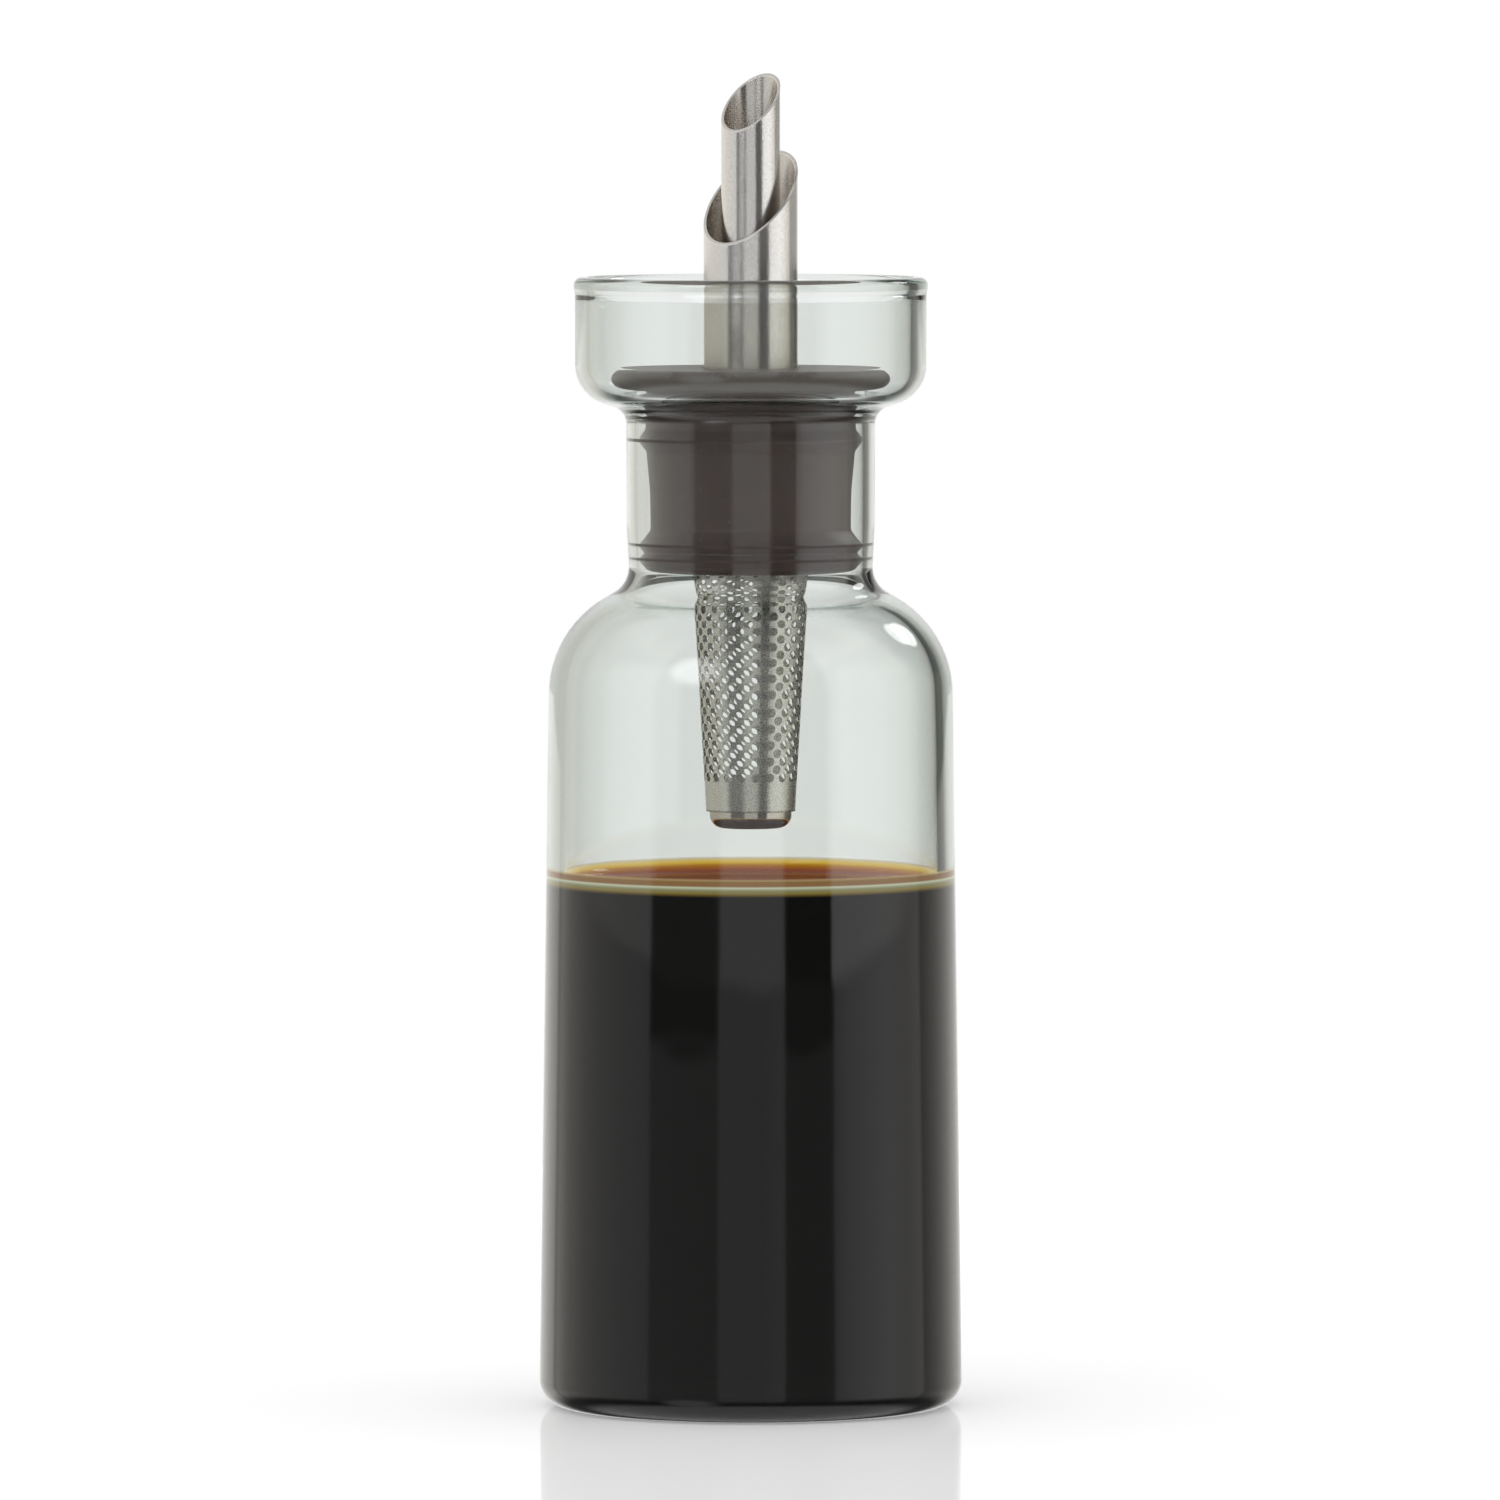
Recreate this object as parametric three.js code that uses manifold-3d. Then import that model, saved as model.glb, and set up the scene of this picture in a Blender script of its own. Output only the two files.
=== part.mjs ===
// An oil dispenser bottle: tinted glass with a drip cup round its mouth, a ribbed silicone stopper,
// a double steel spout through the stopper, and a perforated steel strainer that hangs under it.
// Millimetres, +Z up. The origin is on the table, under the middle of the bottle.

import * as THREE from "three";
import { mergeVertices } from "three/addons/utils/BufferGeometryUtils.js";
import Module from "manifold-3d";

const wasm = await Module();
wasm.setup();

// Fineness: how far a chord may stand off its arc, and the facets round the axis.
const CHORD_ERROR = 0.2;
const GLASS_FACETS = 44;
const STOPPER_FACETS = 36;
const STEEL_FACETS = 32;

// Clearances: between pieces that slide or turn in each other, and under a piece that rests.
const SLIDING_GAP = 0.15;
const SEAT_GAP = 0.3;

// Glass, outside.
const BASE_RADIUS = 36.05;
const BASE_ROUND = 4.5;
const CONTACT_RING_WIDTH = 4;
const PUSH_UP = 1;
const BODY_TAPER = 0.0139;
const SHOULDER_SLOPE = THREE.MathUtils.degToRad(30.1);
const SHOULDER_ROUND = 19;
const NECK_FOOT_Z = 140;
const NECK_FOOT_RADIUS = 20.75;
const NECK_FOOT_ROUND = 5;
const NECK_RADIUS = 21.1;
const NECK_SWELL_Z = [143.5, 150];
const FUNNEL_FOOT_Z = 169.1;
const FUNNEL_SLOPE = THREE.MathUtils.degToRad(20.5);
const FUNNEL_FOOT_ROUND = 1.6;
const CUP_RADIUS = 29.84;
const CUP_FOOT_ROUND = 7;
const RIM_Z = 192.1;
const RIM_HEIGHT = 2.9;
const RIM_STEP = 0.9;
const RIM_RADIUS = 30.06;
const RIM_ROUND = 1.4;

// Glass, inside.
const FLOOR_THICKNESS = 2.5;
const FLOOR_ROUND = 4.6;
const BODY_WALL = 3;
const SHOULDER_WALL = 2.6;
const INNER_SHOULDER_ROUND = 16;
const BORE_RADIUS = 19;
const BORE_FOOT_ROUND = 7.2;
const BORE_MOUTH_ROUND = 2;
const FUNNEL_WALL = 2.15;
const CUP_WALL = 2.64;
const CUP_FLOOR_ROUND = 4.7;
const RIM_WALL = 3.16;

// Silicone stopper.
const FLANGE_RADIUS = 23.7;
const FLANGE_Z = [173.2, 176.8];
const FLANGE_EDGE_ROUND = 1.75;
const FLANGE_ROOT_RADIUS = 17.85;
const FLANGE_ROOT_ROUND = 3;
const PLUG_TOP_RADIUS = 17.7;
const PLUG_FOOT_RADIUS = 17;
const PLUG_FOOT_Z = 148.9;
const STOPPER_FOOT_Z = 141.8;
const STOPPER_FOOT_ROUND = 2;
const LIP_RADIUS = 18.1;
const RIB_RADIUS = BORE_RADIUS - 0.2;
const UPPER_RIB = { z: 164.6, half: 1.4 };
const LOWER_RIBS = [
  { z: 144.5, half: 1.1 },
  { z: 146.9, half: 1.1 },
];
const LEDGE_Z = 154;
const LEDGE_HEIGHT = 4;
const LEDGE_RADIUS = 6.6;
const BORE_CHAMFER = 0.5;

// Double spout: two concentric tubes cut off at one slope, and the spider that centres the inner one.
const TUBE_WALL = 0.5;
const OUTER_TUBE_RADIUS = 8;
const INNER_TUBE_RADIUS = 5;
const OUTER_LIP_Z = 205.6;
const INNER_LIP_Z = 221.7;
const LIP_SLOPE = THREE.MathUtils.degToRad(45);
const LIP_AZIMUTH = THREE.MathUtils.degToRad(55);
const CARRIER_HEIGHT = 5;
const CARRIER_WALL = 0.8;
const CARRIER_ARMS = 3;
const CARRIER_ARM_WIDTH = 1.6;

// Strainer: a tapered perforated sleeve with a plain collar, and the cup that closes its lower end.
const STRAINER_WALL = 0.5;
const COLLAR_RADIUS = 9.86;
const SLEEVE_FOOT_Z = 101.4;
const SLEEVE_FOOT_RADIUS = 7.57;
const HOLE_RADIUS = 1.05;
const HOLE_SIDES = 6;
const HOLES_ROUND = 14;
const HOLE_ROWS = 14;
const HOLE_ROWS_Z = [107.4, 138.6];
const END_CUP_FOOT_Z = 98.5;
const END_CUP_OVERLAP = 3;
const END_CUP_ROUND = 2.2;

// A line of [radius, height, rounding] corners, with a tangent arc in place of each rounded corner.
function outline(corners, closed = false) {
  const points = [];
  const at = (i) => new THREE.Vector2(...corners.at(i % corners.length));
  corners.forEach(([, , round = 0], i) => {
    const corner = at(i);
    if (!round) {
      points.push(corner);
      return;
    }
    const back = at(i - 1).sub(corner).normalize();
    const ahead = at(i + 1).sub(corner).normalize();
    const half = back.angleTo(ahead) / 2;
    const start = corner.clone().addScaledVector(back, round / Math.tan(half));
    const inwards = back.clone().add(ahead).normalize();
    const centre = corner.clone().addScaledVector(inwards, round / Math.sin(half));
    const turn = Math.PI - 2 * half;
    const steps = Math.ceil(turn / (2 * Math.acos(1 - CHORD_ERROR / round)));
    const side = -Math.sign(back.cross(ahead));
    for (let k = 0; k <= steps; k += 1) {
      points.push(start.clone().rotateAround(centre, (side * turn * k) / steps));
    }
  });
  return closed ? [...points, points[0].clone()] : points;
}

// A straight line of an outline: a point on it and the way it runs.
function line(radius, height, runRadius, runHeight) {
  return {
    point: new THREE.Vector2(radius, height),
    run: new THREE.Vector2(runRadius, runHeight).normalize(),
  };
}

// The same line moved to its left, which is inwards on a wall drawn upwards on its outside.
function inset({ point, run }, wall) {
  return { point: new THREE.Vector2(-run.y, run.x).multiplyScalar(wall).add(point), run };
}

// The corner where two lines cross, with its rounding.
function crossing(a, b, round) {
  const along = b.point.clone().sub(a.point).cross(b.run) / a.run.cross(b.run);
  return [...a.point.clone().addScaledVector(a.run, along), round];
}

// An outline turned about the Z axis. Its outer side runs upwards.
function turned(points, facets) {
  return new THREE.LatheGeometry(points, facets).rotateX(Math.PI / 2);
}

// A closed geometry as a solid that can be joined and cut.
function solid(geometry) {
  geometry.deleteAttribute("normal");
  geometry.deleteAttribute("uv");
  const merged = mergeVertices(geometry);
  return new wasm.Manifold(
    new wasm.Mesh({
      numProp: 3,
      vertProperties: merged.attributes.position.array,
      triVerts: new Uint32Array(merged.index.array),
    }),
  );
}

// A joined or cut solid as a geometry again.
function geometryOf(body) {
  const { vertProperties, triVerts } = body.getMesh();
  const geometry = new THREE.BufferGeometry();
  geometry.setAttribute("position", new THREE.BufferAttribute(vertProperties, 3));
  geometry.setIndex(new THREE.BufferAttribute(triVerts, 1));
  return geometry;
}

// The bottle: one outline up its outside, over the rim and down its inside to the floor.
function bottleGeometry() {
  const bodySide = line(BASE_RADIUS, 0, -BODY_TAPER, 1);
  const shoulder = line(NECK_FOOT_RADIUS, NECK_FOOT_Z, -Math.cos(SHOULDER_SLOPE), Math.sin(SHOULDER_SLOPE));
  const funnel = line(NECK_RADIUS, FUNNEL_FOOT_Z, Math.cos(FUNNEL_SLOPE), Math.sin(FUNNEL_SLOPE));
  const cupSide = line(CUP_RADIUS, RIM_Z, 0, 1);
  const bore = line(BORE_RADIUS, 0, 0, 1);
  const floor = line(0, PUSH_UP + FLOOR_THICKNESS, 1, 0);

  const bodyInside = inset(bodySide, BODY_WALL);
  const shoulderInside = inset(shoulder, SHOULDER_WALL);
  const funnelInside = inset(funnel, FUNNEL_WALL);
  const cupInside = inset(cupSide, CUP_WALL);
  const rimFootZ = RIM_Z - RIM_HEIGHT;
  const contactRadius = BASE_RADIUS - BASE_ROUND - CONTACT_RING_WIDTH;
  const outside = [
    [0, PUSH_UP],
    [contactRadius - 2 * PUSH_UP, PUSH_UP],
    [contactRadius, 0],
    [BASE_RADIUS, 0, BASE_ROUND],
    crossing(bodySide, shoulder, SHOULDER_ROUND),
    [NECK_FOOT_RADIUS, NECK_FOOT_Z, NECK_FOOT_ROUND],
    [NECK_FOOT_RADIUS, NECK_SWELL_Z[0]],
    [NECK_RADIUS, NECK_SWELL_Z[1]],
    [NECK_RADIUS, FUNNEL_FOOT_Z, FUNNEL_FOOT_ROUND],
    crossing(funnel, cupSide, CUP_FOOT_ROUND),
    [CUP_RADIUS, rimFootZ],
    [RIM_RADIUS, rimFootZ + RIM_STEP],
    [RIM_RADIUS, RIM_Z, RIM_ROUND],
  ];
  const inside = [
    [RIM_RADIUS - RIM_WALL, RIM_Z, RIM_ROUND],
    [RIM_RADIUS - RIM_WALL, rimFootZ + RIM_STEP],
    [CUP_RADIUS - CUP_WALL, rimFootZ - RIM_STEP],
    crossing(cupInside, funnelInside, CUP_FLOOR_ROUND),
    crossing(funnelInside, bore, BORE_MOUTH_ROUND),
    crossing(bore, shoulderInside, BORE_FOOT_ROUND),
    crossing(shoulderInside, bodyInside, INNER_SHOULDER_ROUND),
    crossing(bodyInside, floor, FLOOR_ROUND),
    [0, PUSH_UP + FLOOR_THICKNESS],
  ];
  return turned(outline([...outside, ...inside]), GLASS_FACETS);
}

// The stopper: lip with two seal ribs, waisted plug, upper rib, flange, and a stepped bore back down.
function stopperGeometry() {
  const rib = ({ z, half }, below, above) => [
    [below, z - half],
    [RIB_RADIUS, z],
    [above, z + half],
  ];
  const [flangeFootZ, flangeTopZ] = FLANGE_Z;
  const tubeBore = OUTER_TUBE_RADIUS + SLIDING_GAP;
  const socket = COLLAR_RADIUS + SLIDING_GAP;
  const socketRoofZ = LEDGE_Z - LEDGE_HEIGHT;
  const corners = [
    [socket, STOPPER_FOOT_Z],
    [LIP_RADIUS, STOPPER_FOOT_Z, STOPPER_FOOT_ROUND],
    ...LOWER_RIBS.flatMap((each) => rib(each, LIP_RADIUS, LIP_RADIUS)),
    [PLUG_FOOT_RADIUS, PLUG_FOOT_Z],
    ...rib(UPPER_RIB, PLUG_TOP_RADIUS, FLANGE_ROOT_RADIUS),
    [FLANGE_ROOT_RADIUS, flangeFootZ, FLANGE_ROOT_ROUND],
    [FLANGE_RADIUS, flangeFootZ, FLANGE_EDGE_ROUND],
    [FLANGE_RADIUS, flangeTopZ, FLANGE_EDGE_ROUND],
    [tubeBore + BORE_CHAMFER, flangeTopZ],
    [tubeBore, flangeTopZ - BORE_CHAMFER],
    [tubeBore, LEDGE_Z],
    [LEDGE_RADIUS, LEDGE_Z],
    [LEDGE_RADIUS, socketRoofZ],
    [socket, socketRoofZ],
  ];
  return turned(outline(corners, true), STOPPER_FACETS);
}

// A straight tube that stands on the stopper's ledge and is cut off obliquely, highest at the lip.
function spoutTubeGeometry(radius, lipZ) {
  const foot = LEDGE_Z + SEAT_GAP;
  const top = lipZ + 2 * radius;
  const section = [
    [radius - TUBE_WALL, foot],
    [radius, foot],
    [radius, top],
    [radius - TUBE_WALL, top],
  ];
  const side = 8 * radius;
  const waste = new THREE.BoxGeometry(side, side, side)
    .translate(0, 0, side / 2)
    .rotateY(-LIP_SLOPE)
    .rotateZ(LIP_AZIMUTH)
    .translate(0, 0, lipZ);
  return geometryOf(solid(turned(outline(section, true), STEEL_FACETS)).subtract(solid(waste)));
}

// The spider between the tubes: a ring round the inner one, with arms that reach the outer one.
function spoutCarrierGeometry() {
  const foot = LEDGE_Z + 2 * SEAT_GAP;
  const bore = INNER_TUBE_RADIUS + SLIDING_GAP;
  const reach = OUTER_TUBE_RADIUS - TUBE_WALL - SLIDING_GAP;
  const ring = [
    [bore, foot],
    [bore + CARRIER_WALL, foot],
    [bore + CARRIER_WALL, foot + CARRIER_HEIGHT],
    [bore, foot + CARRIER_HEIGHT],
  ];
  let carrier = solid(turned(outline(ring, true), STEEL_FACETS));
  const armRoot = bore + CARRIER_WALL / 2;
  const armLength = Math.sqrt(reach ** 2 - (CARRIER_ARM_WIDTH / 2) ** 2) - armRoot;
  for (let i = 0; i < CARRIER_ARMS; i += 1) {
    const arm = new THREE.BoxGeometry(armLength, CARRIER_ARM_WIDTH, CARRIER_HEIGHT)
      .translate(armRoot + armLength / 2, 0, foot + CARRIER_HEIGHT / 2)
      .rotateZ((2 * Math.PI * i) / CARRIER_ARMS);
    carrier = carrier.add(solid(arm));
  }
  return geometryOf(carrier);
}

// The sleeve's outer radius: a straight taper up to the stopper, then the plain collar in its socket.
function sleeveRadius(z) {
  const share = (z - SLEEVE_FOOT_Z) / (STOPPER_FOOT_Z - SLEEVE_FOOT_Z);
  return THREE.MathUtils.lerp(SLEEVE_FOOT_RADIUS, COLLAR_RADIUS, Math.min(share, 1));
}

// The perforated sleeve, laid out as a sheet of [angle, height] points with an outer and an inner face.
// Holes and solid points alternate on a chequered lattice: each hole sits in a diamond whose four
// corners are the solid points around it, so diamonds fill the sheet.
function strainerSleeveGeometry() {
  const positions = [];
  const place = ([angle, z], depth) => {
    const radius = sleeveRadius(z) - depth;
    positions.push(radius * Math.cos(angle), radius * Math.sin(angle), z);
  };
  const layFace = (a, b, c) => {
    [a, b, c].forEach((point) => place(point, 0));
    [a, c, b].forEach((point) => place(point, STRAINER_WALL));
  };
  const layEdge = (a, b) => {
    [[a, STRAINER_WALL], [b, STRAINER_WALL], [b, 0]].forEach(([point, depth]) => place(point, depth));
    [[a, STRAINER_WALL], [b, 0], [a, 0]].forEach(([point, depth]) => place(point, depth));
  };

  const halfPitch = Math.PI / HOLES_ROUND;
  const [firstZ, lastZ] = HOLE_ROWS_Z;
  const rowStep = (lastZ - firstZ) / (HOLE_ROWS - 1);
  const lattice = (step, row) => [step * halfPitch, firstZ + row * rowStep];

  // One diamond with its hole, drawn flat once: the same triangles serve every hole.
  const holeTurns = Array.from({ length: HOLE_SIDES }, (_, k) => (2 * Math.PI * k) / HOLE_SIDES);
  const diamond = [[1, 0], [0, 1], [-1, 0], [0, -1]].map((xy) => new THREE.Vector2(...xy));
  const hole = holeTurns.map((turn) => new THREE.Vector2(Math.cos(turn), Math.sin(turn)).multiplyScalar(0.5));
  const triangles = THREE.ShapeUtils.triangulateShape(diamond, [hole]);

  for (let row = 0; row < HOLE_ROWS; row += 1) {
    for (let column = 0; column < HOLES_ROUND; column += 1) {
      const step = 2 * column + (row % 2);
      const [angle, z] = lattice(step, row);
      const corners = diamond.map(({ x, y }) => lattice(step + x, row + y));
      const rim = holeTurns.map((turn) => [
        angle + (HOLE_RADIUS * Math.cos(turn)) / sleeveRadius(z),
        z + HOLE_RADIUS * Math.sin(turn),
      ]);
      const points = [...corners, ...rim];
      triangles.forEach((indices) => layFace(...indices.map((i) => points[i])));
      rim.forEach((point, k) => layEdge(rim[(k + 1) % HOLE_SIDES], point));
    }
  }

  // Plain bands: the lattice's toothed edges are filled, then carried to the foot and up the collar.
  const ring = (z) => Array.from({ length: 2 * HOLES_ROUND + 1 }, (_, step) => [step * halfPitch, z]);
  const layBand = (lower, upper) => {
    for (let k = 0; k < 2 * HOLES_ROUND; k += 1) {
      layFace(lower[k], lower[k + 1], upper[k + 1]);
      layFace(lower[k], upper[k + 1], upper[k]);
    }
  };
  const footRing = ring(SLEEVE_FOOT_Z);
  const lowRing = ring(lattice(0, -1)[1]);
  const highRing = ring(lattice(0, HOLE_ROWS)[1]);
  const taperRing = ring(STOPPER_FOOT_Z);
  const collarRing = ring(LEDGE_Z - LEDGE_HEIGHT - SEAT_GAP);
  for (let column = 0; column < HOLES_ROUND; column += 1) {
    const low = 2 * column + 1;
    const high = low + ((HOLE_ROWS - 1) % 2);
    const tooth = lattice(low, 0);
    const notch = lattice(high, HOLE_ROWS - 1);
    for (const side of [-1, 0]) {
      layFace(lattice(low + side, -1), lattice(low + side + 1, -1), tooth);
      layFace(lattice(high + side + 1, HOLE_ROWS), lattice(high + side, HOLE_ROWS), notch);
    }
  }
  layBand(footRing, lowRing);
  layBand(highRing, taperRing);
  layBand(taperRing, collarRing);
  for (let k = 0; k < 2 * HOLES_ROUND; k += 1) {
    layEdge(footRing[k], footRing[k + 1]);
    layEdge(collarRing[k + 1], collarRing[k]);
  }
  const geometry = new THREE.BufferGeometry();
  geometry.setAttribute("position", new THREE.Float32BufferAttribute(positions, 3));
  return mergeVertices(geometry, 1e-3);
}

// The end cup: a round-cornered dish whose wall stands up inside the foot of the sleeve.
function endCupGeometry() {
  const radius = SLEEVE_FOOT_RADIUS - STRAINER_WALL - SLIDING_GAP;
  const top = SLEEVE_FOOT_Z + END_CUP_OVERLAP;
  const corners = [
    [0, END_CUP_FOOT_Z],
    [radius, END_CUP_FOOT_Z, END_CUP_ROUND],
    [radius, top],
    [radius - STRAINER_WALL, top],
    [radius - STRAINER_WALL, END_CUP_FOOT_Z + STRAINER_WALL, END_CUP_ROUND - STRAINER_WALL],
    [0, END_CUP_FOOT_Z + STRAINER_WALL],
  ];
  return turned(outline(corners), STEEL_FACETS);
}

// One named piece with its own finish.
function piece(name, geometry, finish) {
  const mesh = new THREE.Mesh(geometry, new THREE.MeshStandardMaterial(finish));
  mesh.name = name;
  geometry.computeVertexNormals();
  return mesh;
}

const SMOKE_GLASS = { color: 0xdbe1dd, roughness: 0.05, metalness: 0, transparent: true, opacity: 0.45 };
const DARK_SILICONE = { color: 0x55514d, roughness: 0.6, metalness: 0 };
const SATIN_STEEL = { color: 0xcbc7c2, roughness: 0.28, metalness: 1 };
const POLISHED_STEEL = { color: 0xc4c0b8, roughness: 0.18, metalness: 1 };

const spout = new THREE.Group();
spout.add(
  piece("outer_spout", spoutTubeGeometry(OUTER_TUBE_RADIUS, OUTER_LIP_Z), SATIN_STEEL),
  piece("inner_spout", spoutTubeGeometry(INNER_TUBE_RADIUS, INNER_LIP_Z), SATIN_STEEL),
  piece("spout_carrier", spoutCarrierGeometry(), SATIN_STEEL),
);

const strainer = new THREE.Group();
strainer.add(
  piece("strainer_sleeve", strainerSleeveGeometry(), POLISHED_STEEL),
  piece("strainer_end_cup", endCupGeometry(), POLISHED_STEEL),
);

const dispenser = new THREE.Group();
dispenser.add(
  piece("bottle", bottleGeometry(), SMOKE_GLASS),
  piece("stopper", stopperGeometry(), DARK_SILICONE),
  spout,
  strainer,
);

export default dispenser;
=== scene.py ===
# %% [markdown]
# # An oil dispenser bottle
# The imported model is the fixed frame: every piece below is drawn in metres where the frame says it is, so
# nothing has to be fitted afterwards. Light goes through many faces of glass one after the other here, so it
# is followed for more bounces than usual.

# %% Load the frame
import math

import bmesh
import bpy
import numpy as np
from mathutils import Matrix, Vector


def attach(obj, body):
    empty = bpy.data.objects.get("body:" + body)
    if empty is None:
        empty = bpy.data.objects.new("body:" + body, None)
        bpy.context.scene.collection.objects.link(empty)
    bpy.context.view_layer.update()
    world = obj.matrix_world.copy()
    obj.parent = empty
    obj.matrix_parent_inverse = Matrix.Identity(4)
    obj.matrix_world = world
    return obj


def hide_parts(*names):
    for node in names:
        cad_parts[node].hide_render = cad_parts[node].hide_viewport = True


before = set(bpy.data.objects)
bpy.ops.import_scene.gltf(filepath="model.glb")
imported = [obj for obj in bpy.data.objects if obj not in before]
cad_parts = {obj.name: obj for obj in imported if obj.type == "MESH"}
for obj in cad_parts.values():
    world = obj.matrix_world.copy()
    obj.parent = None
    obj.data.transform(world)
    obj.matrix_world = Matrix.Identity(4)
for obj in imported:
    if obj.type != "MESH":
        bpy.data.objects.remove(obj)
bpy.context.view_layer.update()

scene = bpy.context.scene
scene.view_settings.view_transform = "Standard"
GLASS_BOUNCES = 32
MIRROR_BOUNCES = 24
scene.cycles.max_bounces = GLASS_BOUNCES
scene.cycles.glossy_bounces = MIRROR_BOUNCES
scene.cycles.transmission_bounces = GLASS_BOUNCES

# %% [markdown]
# ## Camera
# The picture was taken from far away with a long lens, a little above the rim. How flat each round
# edge looks gives the camera's height above that edge. Three edges agree on the height and distance
# below, and the size of the object in the picture then gives the lens.

# %% Place the camera
CAMERA_PLACE = Vector((-0.00012, -2.445, 0.2426))
CAMERA_TARGET = Vector((-0.00012, 0.0, 0.1117))
FOCAL_PIXELS = 14400
PHOTO_PIXELS = 1500
SENSOR_WIDTH = 36.0
FARTHEST = 100

camera = bpy.data.objects.new("camera", bpy.data.cameras.new("camera"))
camera.data.sensor_width = SENSOR_WIDTH
camera.data.lens = FOCAL_PIXELS / PHOTO_PIXELS * SENSOR_WIDTH
camera.data.clip_end = FARTHEST
camera.location = CAMERA_PLACE
camera.rotation_euler = (CAMERA_TARGET - CAMERA_PLACE).to_track_quat("-Z", "Y").to_euler()
scene.collection.objects.link(camera)
scene.camera = camera
print("lens:", round(camera.data.lens, 1), "mm")

# %% [markdown]
# ## Turned shapes
# Glass, stopper, cup and tubes are all round about one axis, so each is a profile that is carried
# round a circle. A profile is a short list of corners in millimetres, as a maker would draw it, and a
# corner may have a rounding, which becomes the arc that touches both of its sides.

# %% Round off a profile
MM = 0.001
ARC_STEP = math.radians(5)


def rounded(corners):
    """Profile points through (radius, height, rounding) corners.
    A rounded corner becomes an arc. Its centre is on the line that halves the corner, at
    rounding / sin(half angle), and it starts and stops at rounding / tan(half angle) from the corner."""
    spots = [np.array(corner[:2], float) for corner in corners]
    runs = [spots[0][None]]
    for i in range(1, len(corners) - 1):
        rounding = corners[i][2] if len(corners[i]) > 2 else 0
        if not rounding:
            runs.append(spots[i][None])
            continue
        back, ahead = ((spots[j] - spots[i]) / np.linalg.norm(spots[j] - spots[i]) for j in (i - 1, i + 1))
        half = math.acos(back @ ahead) / 2
        halving = (back + ahead) / np.linalg.norm(back + ahead)
        centre = spots[i] + halving * rounding / math.sin(half)
        start, stop = (spots[i] + way * rounding / math.tan(half) - centre for way in (back, ahead))
        sweep = math.pi - 2 * half
        share = np.linspace(0, 1, max(3, math.ceil(sweep / ARC_STEP) + 1))[:, None]
        arc = (np.sin((1 - share) * sweep) * start + np.sin(share * sweep) * stop) / math.sin(sweep)
        runs.append(centre + arc)
    runs.append(spots[-1][None])
    return np.concatenate(runs)


print("an arc takes one step for each", round(math.degrees(ARC_STEP)), "degrees")

# %% [markdown]
# Blender's Spin and Screw tools could turn a profile too, but they leave a seam and doubled points on
# the axis. Here the points are a grid, and a step on the axis is one point, so both are closed.

# %% Carry a profile round the axis
ON_AXIS = 1e-6


def turned(profile, around, closed=False):
    """Vertices and faces of a profile carried round the axis.
    The point at step i and angle a is (r_i cos a, r_i sin a, z_i). A step on the axis is one point."""
    angle = np.arange(around) * 2 * np.pi / around
    radius, height = profile[:, :1], np.broadcast_to(profile[:, 1:], (len(profile), around))
    grid = np.stack([radius * np.cos(angle), radius * np.sin(angle), height], -1)
    pole = radius[:, 0] < ON_AXIS
    count = np.where(pole, 1, around)
    index = (np.cumsum(count) - count)[:, None] + np.where(pole[:, None], 0, np.arange(around))
    kept = np.arange(around) < count[:, None]
    return grid[kept], woven(index, closed)


def woven(index, closed=False):
    """Faces between neighbouring rows of a grid of vertex numbers that goes round in its second way."""
    upper = np.roll(index, -1, 0) if closed else index[1:]
    lower = index if closed else index[:-1]
    quads = np.stack([lower, np.roll(lower, -1, 1), np.roll(upper, -1, 1), upper], -1).reshape(-1, 4)
    low_fan, high_fan = quads[:, 0] == quads[:, 1], quads[:, 2] == quads[:, 3]
    return (quads[~low_fan & ~high_fan].tolist()
            + quads[low_fan][:, 1:].tolist() + quads[high_fan][:, :3].tolist())


print("a point within", ON_AXIS, "mm of the axis is a pole")

# %% [markdown]
# A renderer bends light at a face by the side it points to, so the faces of glass have to point
# outwards. The volume that the faces enclose tells: it is negative when they point inwards.

# %% Make a piece
SAME_PLACE = 1e-7
SHARP_ANGLE = 40
MILLILITRES = 1e6


def signed_volume(mesh):
    """Sum over triangles of a . (b x c) / 6: positive when the faces point outwards."""
    mesh.calc_loop_triangles()
    corner = np.empty(3 * len(mesh.loop_triangles), np.int32)
    mesh.loop_triangles.foreach_get("vertices", corner)
    place = np.empty(3 * len(mesh.vertices), np.float32)
    mesh.vertices.foreach_get("co", place)
    a, b, c = place.reshape(-1, 3).astype(float)[corner.reshape(-1, 3)].transpose(1, 0, 2)
    return float(np.einsum("ij,ij->", a, np.cross(b, c)) / 6)


def welded(mesh):
    """Merge the points of loose faces that coincide and turn every face outwards."""
    grid = bmesh.new()
    grid.from_mesh(mesh)
    bmesh.ops.remove_doubles(grid, verts=grid.verts, dist=SAME_PLACE)
    bmesh.ops.recalc_face_normals(grid, faces=grid.faces)
    open_edges = sum(not each.is_manifold for each in grid.edges)
    grid.to_mesh(mesh)
    grid.free()
    print(mesh.name, "welded to", len(mesh.vertices), "points,", open_edges, "open edges")


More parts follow.
